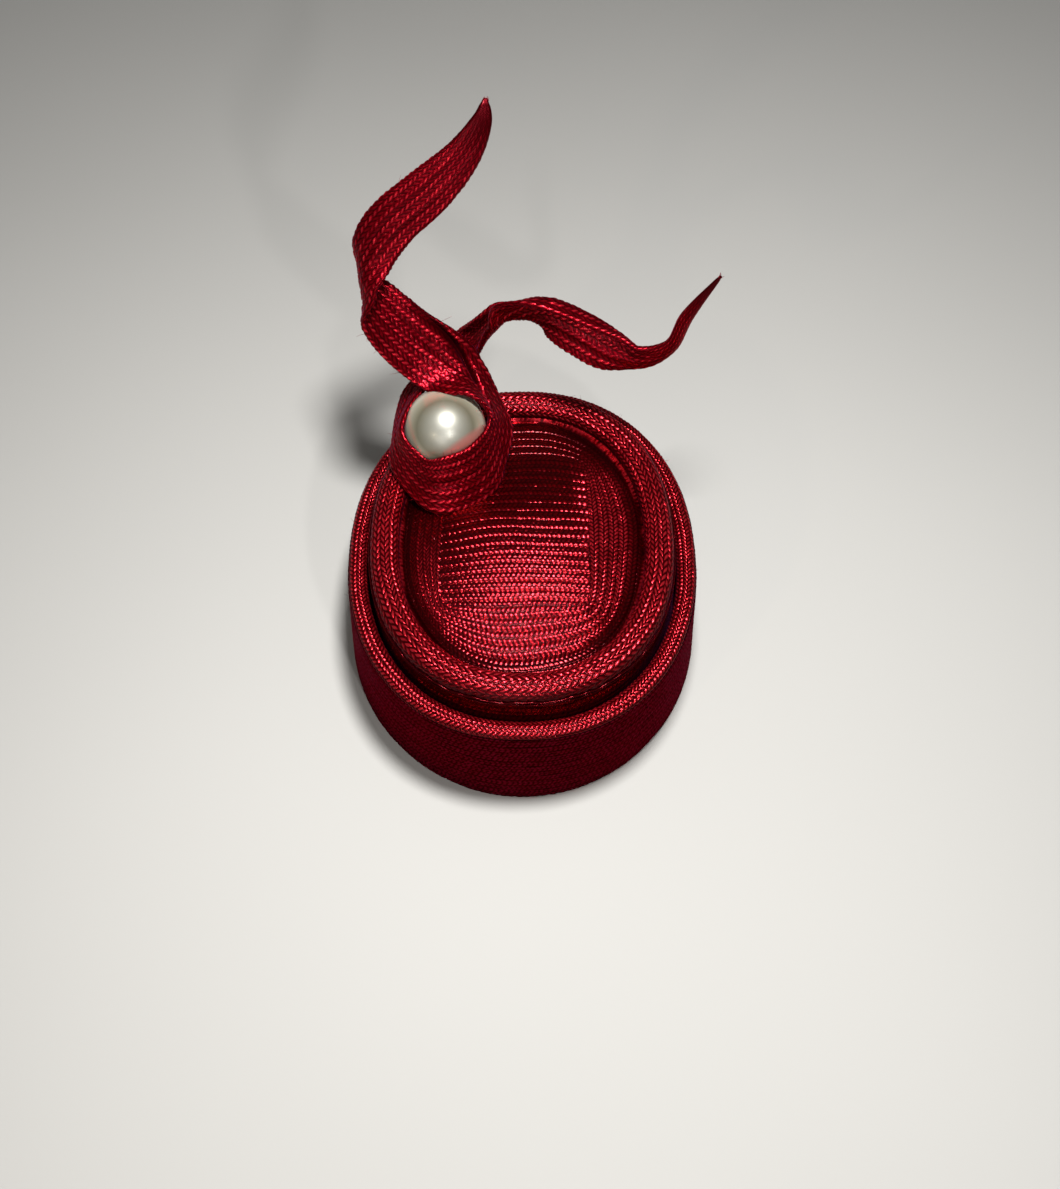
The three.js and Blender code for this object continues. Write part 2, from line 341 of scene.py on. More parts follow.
def finish_piece(obj, material, slot, *nodes):
    obj.data.materials.append(material)
    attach(obj, "root")
    if nodes:
        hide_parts(*nodes)
    return obj


# Reds from the grooves to the stitch tops: painted shade low down, a lighter, pinker painted highlight on
# top. The last list is a darker copy of the braid for the brim's wall, which is painted shade.
LIT_REDS = [(0.024, 0.0, 0.0004), (0.12, 0.0, 0.002), (0.52, 0.016, 0.027)]
RIBBON_REDS = [(0.04, 0.0, 0.001), (0.17, 0.0, 0.004), (0.6, 0.02, 0.034)]
SHADED_REDS = [(0.008, 0.0, 0.0002), (0.014, 0.0, 0.0003), (0.08, 0.002, 0.009)]
sewn_red = braid_material("sewn_braid", LIT_REDS, 0.18, 0.8, 0.4, 0.03, SEWN_LEAN)
tube_red = braid_material("tube_braid", LIT_REDS, 0.22, 0.75, 0.4, 0.03, TUBE_LEAN)
ribbon_red = braid_material("ribbon_braid", RIBBON_REDS, 0.28, 0.72, 0.2, 0.06, TUBE_LEAN)
shaded_red = braid_material("shaded_braid", SHADED_REDS, 0.35, 0.3, 0.0, 0.004, SEWN_LEAN)

# ---- Crown ----

# The tip: a block of straight rows, and closed rows round it out to the crease.
BLOCK_MIDDLE = (-3.0, 2.5)
BLOCK_HALF = (32.0, 39.5)
BLOCK_CORNER = 9  # roundness of the block, where 2 is an ellipse
BLOCK_ROWS = 17
ROUND_ROWS = 5
ROUND_FROM = 60  # number of the closed rows' first column, past all those of the block
TIP_CELL = 0.38
TIP_PILLOW = 7.0  # rise of the tip from the crease to its middle


def tip_braid(x, y):
    """Stitches along and columns across the tip at each place."""
    from_x, from_y = x - BLOCK_MIDDLE[0], y - BLOCK_MIDDLE[1]
    turn = np.arctan2(from_y, from_x)
    distance = np.hypot(from_x, from_y)
    table = np.linspace(-np.pi, np.pi, TURN_STEPS + 1)
    block = (np.abs(np.cos(table) / BLOCK_HALF[0]) ** BLOCK_CORNER
             + np.abs(np.sin(table) / BLOCK_HALF[1]) ** BLOCK_CORNER) ** (-1 / BLOCK_CORNER)
    edge = ring_points([RINGS["crease"]], TURN_STEPS)[0]
    edge_turn = np.arctan2(edge[:, 1] - BLOCK_MIDDLE[1], edge[:, 0] - BLOCK_MIDDLE[0])
    edge_far = np.hypot(edge[:, 0] - BLOCK_MIDDLE[0], edge[:, 1] - BLOCK_MIDDLE[1])
    crease = np.interp(table, edge_turn, edge_far, period=2 * np.pi)
    inner = np.interp(turn, table, block)
    outer = np.interp(turn, table, crease)
    ring_row = (distance - inner) / (outer - inner) * ROUND_ROWS
    inside = ring_row < 0

    # The block's rows bend towards their left and right ends.
    left = np.clip((4 - x) / 39, 0, None) ** 2 * 4.5
    right = np.clip((x - 4) / 25, 0, None) ** 2 * 1.5
    bow = (left + right) * np.clip((y + 20) / 50, -0.35, 1)
    block_row = (from_y + bow) / (2 * BLOCK_HALF[1]) * BLOCK_ROWS + BLOCK_ROWS
    row = np.floor(block_row)
    along = x / STITCH + scatter(row, 0 * row, 2)

    for k in range(-1, ROUND_ROWS + 2):
        far = block + (crease - block) * (k + 0.5) / ROUND_ROWS
        px, py = far * np.cos(table), far * np.sin(table)
        length = np.concatenate([[0], np.cumsum(np.hypot(np.diff(px), np.diff(py)))])
        stitches = round(length[-1] / STITCH)
        here = ~inside & (np.floor(ring_row) == k)
        along[here] = np.interp(turn[here], table, length / length[-1] * stitches) + 0.37 * k
    across = np.where(inside, 2 * block_row, 2 * ring_row + ROUND_FROM)
    return along, across, inside


def crown_tip():
    half_x, half_y, crease_z, roundness = RINGS["crease"]
    nx = int(round(2.2 * half_x / TIP_CELL))
    ny = int(round(2.2 * half_y / TIP_CELL))
    x, y = np.meshgrid(np.linspace(-1.1, 1.1, nx) * half_x, np.linspace(-1.1, 1.1, ny) * half_y)
    share = ((np.abs(x) / half_x) ** roundness + (np.abs(y) / half_y) ** roundness) ** (1 / roundness)
    warp_x = 0.5 * np.sin(y / 9.0) * np.sin(x / 13.0 + 1.0)
    warp_y = 0.55 * np.sin(x / 7.5 + 0.6 * np.sin(y / 11)) * np.cos(y / 17.0)
    along, across, inside = tip_braid(x + warp_x, y + warp_y)

    # The stitches stand out most at the front and the right, less at the crease and least at the left of
    # the block, and the second column of each of the block's rows is lower. Where they are lower they are
    # also darker: painted shade at the back, the left and the crease, and on each second column.
    front = np.clip((20 - y) / 45, 0, 1)
    right = np.clip((x - 20) / 8, 0, 1) * np.clip((50 - y) / 20, 0, 1)
    clear = (0.5 + 0.5 * np.maximum(front, right)) * np.clip((1.02 - share) / 0.12, 0.35, 1)
    clear = clear * (1 - 0.3 * np.clip((-8 - x) / 18, 0, 1) * inside)
    lean = np.where(inside, SEWN_LEAN, TUBE_LEAN)
    bundle = np.where(inside, SEWN_BUNDLE, TUBE_BUNDLE)
    in_row = np.mod(across, 2) / 2
    height = braid_height(along, across, lean, bundle=bundle) * clear
    height = height * np.where(inside & (in_row > 0.5), 0.7, 1)

    # The rows lap over each other, and each is rounded across.
    lap = LAP * np.where(inside, in_row - 0.5, 0.5 - in_row)
    right_rounds = right * np.clip((y + 50) / 15, 0, 1)
    lap = lap * np.where(inside, 0.1 + 0.9 * front, 0.6 - 1.3 * right_rounds)
    rounded = ROW_CROWN * (0.28 + 0.72 * np.maximum(front, 0.4 * right))
    lap = lap - rounded * np.abs(2 * in_row - 1) ** 3

    # The tip swells from the crease to its middle, and past the crease its edge drops under the ridge.
    fillet = 1.6 * np.clip((share - 0.86) / 0.14, 0, 1) ** 2
    z = crease_z + TIP_PILLOW * (1 - share ** 2.3) + fillet + (height - 0.5) * RELIEF + lap
    z = z - 1.2 * np.clip((share - 1) / 0.04, 0, 1) - 8 * np.clip(share - 1.04, 0, 1)
    points = np.stack([x, y, z], axis=2)
    keep = share < 1.085
    cells = keep[:-1, :-1] & keep[:-1, 1:] & keep[1:, 1:] & keep[1:, :-1]
    index = np.arange(nx * ny).reshape(ny, nx)
    faces = np.stack([c[cells] for c in pick(index)], axis=1)
    used, inverse = np.unique(faces, return_inverse=True)
    faces = inverse.reshape(faces.shape)
    uvs = np.stack([np.stack([c[cells] for c in pick(along)], axis=1),
                    np.stack([c[cells] for c in pick(across)], axis=1)], axis=2)
    obj = mesh_object("crown_tip", points.reshape(-1, 3)[used], faces, uvs, height.ravel()[used])
    return finish_piece(obj, sewn_red, "braid", "crown")


RIDGE_COLUMN = 1.85
RIDGE_STITCHES = 140
CREST_COLUMN = 1.9
CREST_STITCHES = 248
WALL_STITCHES = 200
# Angles over a rolled edge, in degrees: 0 faces out, 90 is the top and 180 faces in.
CREST_START = 11.0  # where the crest begins, under the top of the brim's wall
WALL_END = 16.0  # where the brim's wall ends, lapped over the crest
SELVEDGE_ANGLE = -4.0  # where the ridge's lowest row laps over the wall
RIDGE_END = 212.0  # where the ridge tucks in under itself, over the edge of the tip


def crown_ridge():
    """The rolled ridge from its lapped edge over the top and in under itself at the crease."""
    rings, at = resample(roll_rings("ridge", RIDGE_ROLL, SELVEDGE_ANGLE, RIDGE_END, 80), spacing=0.31)
    # The stitches are flatter and darker at both edges of the roll, at its foot and where it tucks in
    # under itself; the darker colour is painted shade.
    clear = np.interp(at / RIDGE_ROLL, np.radians([15, 55, 145, 200]), [0.25, 1, 1, 0.3])
    obj = braid_band("crown_ridge", rings, at, count=1050, stitches=RIDGE_STITCHES,
                     column=RIDGE_COLUMN, lean=TUBE_LEAN, relief=0.62, rows=0, clear=clear)
    return finish_piece(obj, tube_red, "braid", "crown")


def crown_wall():
    """The side of the crown from its foot up to the ridge."""
    rings = [ring_at("foot"), ring_at("brim_top", -BRIM_ROLL - 0.9, -BRIM_ROLL), ring_at("wall_top")]
    rings, at = resample(rings, spacing=1.0)
    obj = braid_band("crown_wall", rings, at, count=560, stitches=WALL_STITCHES, column=ROW / 2,
                     lean=SEWN_LEAN, relief=0.4, rows=0.4, clear=0.4)
    return finish_piece(obj, sewn_red, "braid", "crown")


def crown_inside():
    """The underside of the crown, from its foot up and over to the middle of the tip.

    Its normals point into the braid, so its relief is negative."""
    crease = ring_at("crease")
    rings = [ring_at("foot"), ring_at("foot", -BRAID), ring_at("wall_top", -BRAID)]
    for ring in roll_rings("ridge", RIDGE_ROLL - BRAID, 0, 160, 12):
        rings.append(ring - np.array([0, 0, BRAID, 0]))
    for share in (1.0, 0.9, 0.75, 0.55, 0.35, 0.15, 0.02):
        z = crease[2] + TIP_DOME * (1 - share ** 2) - BRAID
        rings.append(np.array([crease[0] * share, crease[1] * share, z, crease[3]]))
    rings, at = resample(rings, spacing=1.8)
    obj = braid_band("crown_inside", rings, at, count=360, stitches=WALL_STITCHES, column=ROW / 2,
                     lean=SEWN_LEAN, relief=-0.3)
    return finish_piece(obj, sewn_red, "braid", "crown")


crown_tip()
crown_ridge()
crown_wall()
crown_inside()

# ---- Brim ----


def brim_wall():
    """The outside of the brim, from the rim up over the start of its crest, in the braid's darker copy,
    which is painted shade.
    """
    low, high = ring_at("rim", 0, RIM_ROUND), ring_at("brim_top", BRIM_ROLL, -BRIM_ROLL)
    rings = [low + (high - low) * s for s in np.linspace(0, 0.98, 20)]
    rings, at = resample(rings + roll_rings("brim_top", BRIM_ROLL, 0, WALL_END, 8), spacing=0.75)
    obj = braid_band("brim_wall", rings, at, count=820, stitches=CREST_STITCHES, column=ROW / 2,
                     lean=SEWN_LEAN, relief=0.42, rows=0.3)
    return finish_piece(obj, shaded_red, "braid", "brim")


def brim_crest():
    """The rolled edge of the brim, in one tube of braid."""
    rings, at = resample(roll_rings("brim_top", BRIM_ROLL, CREST_START, 215, 60), spacing=0.33)
    # The stitches are flatter and darker at both edges of the crest, under the wall's top and where it
    # tucks in; the darker colour is painted shade.
    clear = np.interp(at / BRIM_ROLL, np.radians([2, 40, 130, 185]), [0.25, 1, 1, 0.3])
    obj = braid_band("brim_crest", rings, at, count=1488, stitches=CREST_STITCHES,
                     column=CREST_COLUMN, lean=TUBE_LEAN, relief=0.6, rows=0, clear=clear)
    return finish_piece(obj, tube_red, "braid", "brim")


def brim_inside():
    """The inside of the brim, down to the rim, round the head opening and out under the rim."""
    rings = roll_rings("brim_top", BRIM_ROLL, 205, 225, 3)
    rings.append(ring_at("brim_top", BRIM_ROLL - BRAID, -BRIM_LAP))
    rings.append(ring_at("rim", -BRAID, BRAID + RIM_ROUND))
    rings.append(ring_at("rim", -BRAID - RIM_ROUND, BRAID))
    rings.append(ring_at("opening", 0, BRAID))
    rings.append(ring_at("opening"))
    rings.append(ring_at("rim", -RIM_ROUND))
    rings.append(ring_at("rim", 0, RIM_ROUND))
    rings, at = resample(rings, spacing=1.8)
    obj = braid_band("brim_inside", rings, at, count=400, stitches=CREST_STITCHES, column=ROW / 2,
                     lean=SEWN_LEAN, relief=0.25)
    return finish_piece(obj, sewn_red, "braid", "brim")


brim_wall()
brim_crest()
brim_inside()

# ---- Ribbon ----

# Its middle line, width, the way across from its lower to its upper edge, the curl of its section
# and the fold of a lip along its upper edge, both in degrees. The rows are the solid's, but lower
# and wider just above the pearl, rolled where the second tail begins and slimmer at its end.
# x, y, z, wide, across x, y, z, curl, lip
RIBBON = [
    (-12.5, 93.4, 221, 2.5, 0.8, -0.1, -0.6, 0, 0),
    (-14.5, 89, 213, 9, 0.8, -0.1, -0.6, 20, 0),
    (-22.5, 84, 201, 15, 0.75, -0.1, -0.65, 20, 0),
    (-36, 80, 188, 20, 0.7, -0.2, -0.7, 20, 0),
    (-51, 77, 175, 21, 0.75, -0.3, -0.6, 30, 0),
    (-60.5, 74, 162, 21, 0.8, -0.5, -0.2, 60, 0),
    (-64, 71, 149, 22, 0.2, -0.6, 0.75, 90, 0),
    (-60.5, 70, 136, 25, -0.6, -0.6, 0.1, 60, 0),
    (-49, 67, 122, 28, -0.6, -0.6, -0.45, 30, 0),
    (-35.6, 64, 110.7, 29.5, -0.55, -0.5, -0.4, 20, 0),
    (-19.4, 57.5, 102, 27, -0.4, -0.5, 0.4, 50, 0),
    (-10.5, 49.5, 90.5, 22, -0.42, -0.1, 0.9, 20, 0),
    (-11.4, 39.6, 83.3, 24.5, -0.33, 0, 0.94, 10, 0),
    (-18.3, 25, 81.5, 28.5, -0.4, 0.16, 0.9, 0, 0),
    (-35.2, 18.6, 79.8, 27, -0.05, 0.45, 0.89, 0, 0),
    (-46.7, 25.3, 80.7, 20, 0.06, 0.5, 0.85, 0, 0),
    (-54, 38.3, 88.2, 18.5, 0.25, 0.2, 0.9, 0, 0),
    (-47.8, 61, 93.3, 19, 0.6, -0.1, 0.6, 0, 0),
    (-36, 72.5, 96.5, 17, 0.6, -0.35, 0.15, 0, 0),
    (-23.3, 80.5, 103, 17, 0.55, -0.6, -0.1, 90, 0),
    (-13, 76, 121, 17, 0.45, -0.65, 0.25, 240, 0),
    (-3.2, 71, 131.5, 20, 0.1, -0.3, 0.8, 150, -60),
    (10.5, 66, 136, 26, 0.1, 0.2, 0.9, 60, -120),
    (26, 61, 130.5, 28, 0.2, 0.4, 0.8, 30, -125),
    (39, 57, 124.5, 25, 0.2, 0.4, 0.7, 40, -110),
    (51.5, 53, 123, 14, 0, 0.1, 0.9, 60, -60),
    (62.5, 50, 132.5, 6.5, -0.6, 0.1, 0.5, 70, 0),
    (67.5, 47, 152.5, 5.5, -0.8, 0.2, 0.3, 60, 0),
    (78, 44, 176, 1.5, -0.7, 0.2, 0.5, 0, 0),
]
# Creases: first and last row, place across at each (0 is the lower edge), depth, width, how late
# the crease crosses over, and how far its upper side stays pushed in.
CREASES = [
    (1.5, 6.0, 0.7, 0.6, 0.7, 0.05, 1, 1),
    (2.0, 5.5, 0.3, 0.35, 0.5, 0.05, 1, 1),
    (7.6, 11.2, 0.06, 1.0, 3.8, 0.035, 2.6, 2),
    (7.2, 10.0, 0.3, 0.5, 0.8, 0.05, 1, 1),
    (12.5, 15.5, 0.55, 0.5, 0.5, 0.05, 1, 1),
    (15.5, 19.0, 0.5, 0.45, 0.6, 0.06, 1, 1),
    (21.5, 25.5, 0.3, 0.35, 0.8, 0.05, 1, 1),
]
# The pearl presses into the soft ribbon round it, which gives way and stays just clear of it.
PEARL_PRESS = 0.7  # how much more its radius is than the solid's
PEARL_NUDGE = (-0.8, 0.6, 1.3)  # how far its middle lies from the solid's
PEARL_CLEAR = 0.25  # how far the ribbon stays off it
pearl_low, pearl_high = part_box("pearl")
pearl_centre = np.array((pearl_low + pearl_high) / 2) / MM + np.array(PEARL_NUDGE)

RIBBON_COLUMNS = 28  # columns of stitches all the way round the flattened tube
RIBBON_STITCH = 2.75  # along the ribbon
RIBBON_RELIEF = 0.8  # height of a stitch where the ribbon is wide
RIBBON_POINT = 0.6  # most thickness that a narrow end has, as a share of its width
LIP_START = 0.12  # where the lip begins, as a share of the width from the middle
LIP_SPAN = 0.16  # share of the width that the lip's fold takes
RIBBON_SECTIONS = 800
RIBBON_AROUND = 104  # points round each section
END_SECTIONS = 5  # sections over which each end closes
CREASE_SHADE = 3.2  # depth of crease at which its painted shade hides the stitches, which flatten there too
END_SHADE = 45  # sections over which each end comes up from painted shade and flattened stitches to full height


def smooth_rows(rows, t):
    """Every column of a table at fractional row numbers t, on a smooth curve through its rows."""
    rows = np.array(rows, float)
    padded = np.vstack([2 * rows[0] - rows[1], rows, 2 * rows[-1] - rows[-2]])
    i = np.clip(np.floor(t).astype(int), 0, len(rows) - 2)
    u = (t - i)[:, None]
    a, b, c, d = (padded[i + k] for k in range(4))
    cubic = (3 * (b - c) + d - a) * u + 2 * a - 5 * b + 4 * c - d
    return 0.5 * ((cubic * u + c - a) * u + 2 * b)


def evenly_along(rows, count):
    """Fractional row numbers whose places lie evenly along the table's middle line."""
    t = np.linspace(0, len(rows) - 1, 4000)
    place = smooth_rows(rows, t)[:, :3]
    length = np.concatenate([[0], np.cumsum(np.linalg.norm(np.diff(place, axis=0), axis=1))])
    return np.interp(np.linspace(0, length[-1], count), length, t), length[-1]


def section_line(wide, curl, lip, share):
    """The curled middle line of each section: offsets across and off the face, and headings."""
    fold = np.clip((share - LIP_START) / LIP_SPAN, 0, 1)
    heading = np.radians(curl[:, None] * share + lip[:, None] * fold)
    step = wide[:, None] * np.diff(share)
    mean = (heading[:, 1:] + heading[:, :-1]) / 2
    zero = np.zeros((len(wide), 1))
    across = np.hstack([zero, np.cumsum(step * np.cos(mean), axis=1)])
    off = np.hstack([zero, np.cumsum(step * np.sin(mean), axis=1)])
    across -= across.mean(axis=1, keepdims=True)
    off -= off.mean(axis=1, keepdims=True)
    return across, off, heading


def unit(vectors):
    return vectors / np.linalg.norm(vectors, axis=-1, keepdims=True)


def crease_depth(t, at):
    """How far the creases push in each place of a grid: rows t by places across at, 0 to 1."""
    depth = np.zeros(at.shape)
    for first, last, start, end, deep, width, late, after in CREASES:
        u = np.clip((t - first) / (last - first), 0, 1)[:, None]
        fade = np.sin(np.pi * u) ** 0.7
        beyond = at - (start + (end - start) * u ** late)
        depth += deep * fade * np.exp(-((beyond / np.where(beyond > 0, after * width, width)) ** 2))
    return depth


def stadium(wide, half, share):
    """Places across a flat section with round edges, and how far its outline has turned there."""
    flat = wide - 2 * half
    bend = np.pi * half
    s = share * 2 * (flat + bend)
    top = s < flat
    right = ~top & (s < flat + bend)
    under = ~top & ~right & (s < 2 * flat + bend)
    sides = [top, right, under]
    angle = np.select(sides, [0 * s, (s - flat) / half, np.pi + 0 * s],
                      np.pi + (s - 2 * flat - bend) / half)
    across = np.select(sides, [s - flat / 2, flat / 2 + 0 * s, 1.5 * flat + bend - s], -flat / 2)
    return across, angle


def ribbon():
    """The tubular braid with its creases; returns its points for the loose fibres."""
    t, length = evenly_along(RIBBON, RIBBON_SECTIONS)
    rows = smooth_rows(RIBBON, t)
    middle, wide = rows[:, :3], rows[:, 3]
    along_way = unit(np.gradient(middle, axis=0))
    across_way = rows[:, 4:7]
    across_way = unit(across_way - (across_way * along_way).sum(1, keepdims=True) * along_way)
    off_way = np.cross(across_way, along_way)
    half = np.minimum(RIBBON_THICK, RIBBON_POINT * wide) / 2

    share = np.linspace(0, 1, RIBBON_AROUND, endpoint=False)[None]
    place, angle = stadium(wide[:, None], half[:, None], share)
    line = np.linspace(-0.5, 0.5, 61)
    line_across, line_off, line_heading = section_line(wide, rows[:, 7], rows[:, 8], line)
    at = place / wide[:, None]
    across, off, heading = (
        np.array([np.interp(a, line, row) for a, row in zip(at, table)])
        for table in (line_across, line_off, line_heading)
    )

    along_grid = np.repeat(np.linspace(0, length / RIBBON_STITCH, len(t))[:, None], RIBBON_AROUND + 1, 1)
    across_grid = np.repeat(np.linspace(0, RIBBON_COLUMNS, RIBBON_AROUND + 1)[None], len(t), 0)
    round_tube = across_grid * 2 * np.pi / RIBBON_COLUMNS
    along_grid = along_grid + 0.35 * np.sin(along_grid / 4.3) * np.sin(round_tube)
    height = braid_height(along_grid, across_grid, TUBE_LEAN, bundle=TUBE_BUNDLE)
    # Every other column is lower and painted darker, which is painted shade; the stitches also vary at
    # random.
    height = height * np.where(np.mod(np.floor(across_grid), 2) > 0, 0.6, 1)
    height = height * (1 - 0.25 * scatter(np.floor(along_grid + 0.4), np.floor(across_grid), 5))
    # The creases are painted darker, which is painted shade, and their stitches flatten.
    creases = crease_depth(t, np.hstack([at, at[:, :1]]) + 0.5)
    height = height * np.clip(1 - creases / CREASE_SHADE, 0.05, 1)
    # Near each end the stitches are flatter and painted darker, which is painted shade.
    to_end = np.minimum(np.arange(len(t)), len(t) - 1 - np.arange(len(t)))
    height = height * np.clip(to_end / END_SHADE - 0.1, 0, 1)[:, None]
    column = 2 * wide / RIBBON_COLUMNS
    rise = half[:, None] + (height[:, :-1] - 0.5) * RIBBON_RELIEF * np.clip(column / 1.8, 0.1, 1)[:, None]
    rise = rise * np.sqrt(np.clip(to_end / END_SECTIONS, 0, 1))[:, None]
    off = off - creases[:, :-1]
    lean = heading - angle
    x = across - rise * np.sin(lean)
    z = off + rise * np.cos(lean)
    points = middle[:, None] + across_way[:, None] * x[..., None] + off_way[:, None] * z[..., None]
    from_pearl = points - pearl_centre
    far = np.linalg.norm(from_pearl, axis=2, keepdims=True)
    touch = PEARL_RADIUS + PEARL_PRESS + PEARL_CLEAR
    points = pearl_centre + from_pearl * np.maximum(touch / far, 1)
    obj = mesh_from_grid("ribbon_braid", points, along_grid, across_grid, height[:, :-1])
    finish_piece(obj, ribbon_red, "ribbon", "ribbon")
    return points


ribbon_points = ribbon()

# ---- Cords and fibres ----

SELVEDGE_RADIUS = 0.35
SELVEDGE_POINTS = 700  # along each cord
SELVEDGE_TWISTS = 260
FIBRE_RADIUS = 0.09
FIBRE_STEPS = 9
FIBRE_SIDES = 3


def tube(points, radius, sides):
    """Rings of points round a path; radius is one number for each point of the path."""
    way = unit(np.gradient(points, axis=0))
    side = unit(np.cross(way, np.array([0.31, 0.57, 0.76])))
    other = np.cross(way, side)
    turn = np.linspace(0, 2 * np.pi, sides, endpoint=False)
    ring = side[:, None] * np.cos(turn)[:, None] + other[:, None] * np.sin(turn)[:, None]
    return points[:, None] + ring * np.asarray(radius)[:, None, None]


def selvedge(name, angle, seed):
    """A thin wavy cord along the lapped outer edge of the ridge, coloured dark, which is painted shade.
    """
    ring = ring_points(roll_rings("ridge", RIDGE_ROLL + 0.25, angle, angle, 0), SELVEDGE_POINTS)[0]
    turn = np.linspace(0, 2 * np.pi, SELVEDGE_POINTS, endpoint=False)
    ring[:, 2] += 0.35 * np.sin(23 * turn + seed) + 0.2 * np.sin(61 * turn)
    path = np.vstack([ring, ring[:1]])
    twist = 1 + 0.12 * np.cos(np.linspace(0, 2 * np.pi * SELVEDGE_TWISTS, len(path)))
    points = tube(path, SELVEDGE_RADIUS * twist, 6)
    across, along = np.meshgrid(np.linspace(0, 6, 7), np.linspace(0, SELVEDGE_POINTS, len(path)))
    # Its low relief value gives the cord a dark colour: painted shade.
    obj = mesh_from_grid(name, points, along, across, np.full(points.shape[:2], 0.25))
    return finish_piece(obj, sewn_red, "braid")


def fibres(name, starts, ways, lengths, material, slot):
    """Fine loose fibres: each leaves its start along its way and curls over."""
    steps = np.linspace(0, 1, FIBRE_STEPS)
    parts = []
    for i, (start, way, length) in enumerate(zip(starts, ways, lengths)):
        bend = unit(np.cross(way, [scatter(i, 1, 4) - 0.5, scatter(i, 2, 4) - 0.5, 0.3]))
        curl = 0.7 * (scatter(i, 3, 4) - 0.5) * 2
        path = start + length * (steps[:, None] * way + curl * steps[:, None] ** 2 * bend)
        parts.append(tube(path, FIBRE_RADIUS * (1 - 0.6 * steps), FIBRE_SIDES))
    points = np.stack(parts)
    index = np.arange(points.size // 3).reshape(points.shape[:3])
    around = np.concatenate([index, index[:, :, :1]], axis=2)
    corners = [around[:, :-1, :-1], around[:, :-1, 1:], around[:, 1:, 1:], around[:, 1:, :-1]]
    faces = np.stack([c.ravel() for c in corners], axis=1)
    uvs = np.stack([faces * 0.37 % 5, faces * 0.11 % 3], axis=2)
    obj = mesh_object(name, points.reshape(-1, 3), faces, uvs, np.full(index.size, 0.6))
    return finish_piece(obj, material, slot)


def ribbon_fibres(points):
    """Frayed ends of the ribbon, and loose fibres along its two edges."""
    starts, ways, lengths = [], [], []
    half = RIBBON_AROUND // 2
    for end, sign in ((0, 1), (-1, -1)):
        outward = unit(points[end].mean(0) - points[end + 12 * sign].mean(0))
        for k in range(16):
            turn = [scatter(k, axis, 6 + end) - 0.5 for axis in range(3)]
            starts.append(points[end + 2 * sign, int(RIBBON_AROUND * scatter(k, end, 6))])
            ways.append(unit(outward + 0.8 * np.array(turn)))
            lengths.append(0.7 + 1.3 * scatter(k, end, 8))
    for k in range(34):
        i = int(30 + (RIBBON_SECTIONS - 60) * scatter(k, 0, 9))
        edge = half - 2 if k % 2 else RIBBON_AROUND - 2
        start, inner = points[i, edge], points[i, edge - 8]
        along_way = unit(points[i + 3, edge] - points[i - 3, edge])
        starts.append(start)
        ways.append(unit(unit(start - inner) + along_way * (2 * scatter(k, 1, 9) - 1) * 1.4))
        lengths.append(1.8 + 3.5 * scatter(k, 2, 9) ** 2)
    fibres("ribbon_fibres", starts, ways, lengths, ribbon_red, "ribbon")


def hat_fibres():
    """A few loose fibres on the brim's crest and wall and along the ridge."""
    starts, ways, lengths = [], [], []
    crest = ring_points([ring_at("brim_top", 1.5)], 360)[0]
    wall = ring_points([ring_at("rim", -2.6, 28)], 360)[0]
    ridge = ring_points([ring_at("ridge", 2.0, -0.4)], 360)[0]
    for ring, count, seed in ((crest, 22, 1), (wall, 20, 2), (ridge, 18, 3)):
        for k in range(count):
            i = int(360 * scatter(k, seed, 11)) % 360
            out = unit(np.array([ring[i, 0], ring[i, 1], 25.0]))
            round_way = unit(ring[(i + 1) % 360] - ring[i])
            starts.append(ring[i])
            ways.append(unit(out * 0.5 + round_way * (2 * scatter(k, seed, 12) - 1)))
            lengths.append(2.0 + 3.5 * scatter(k, seed, 13))
    fibres("hat_fibres", starts, ways, lengths, sewn_red, "braid")


selvedge("selvedge_cord_upper", 4, 0.0)
selvedge("selvedge_cord_lower", -10, 2.0)
ribbon_fibres(ribbon_points)
hat_fibres()

# ---- Pearl ----

# Sockets of a Mix node that mixes colours.
MIX_A = 6
MIX_B = 7
MIX_RESULT = 2
PAINTED_RIBBON_REFLECTION = (0.42, 0.14, 0.12, 1)  # painted reflection of the ribbon's red, on the side of the pearl that faces it


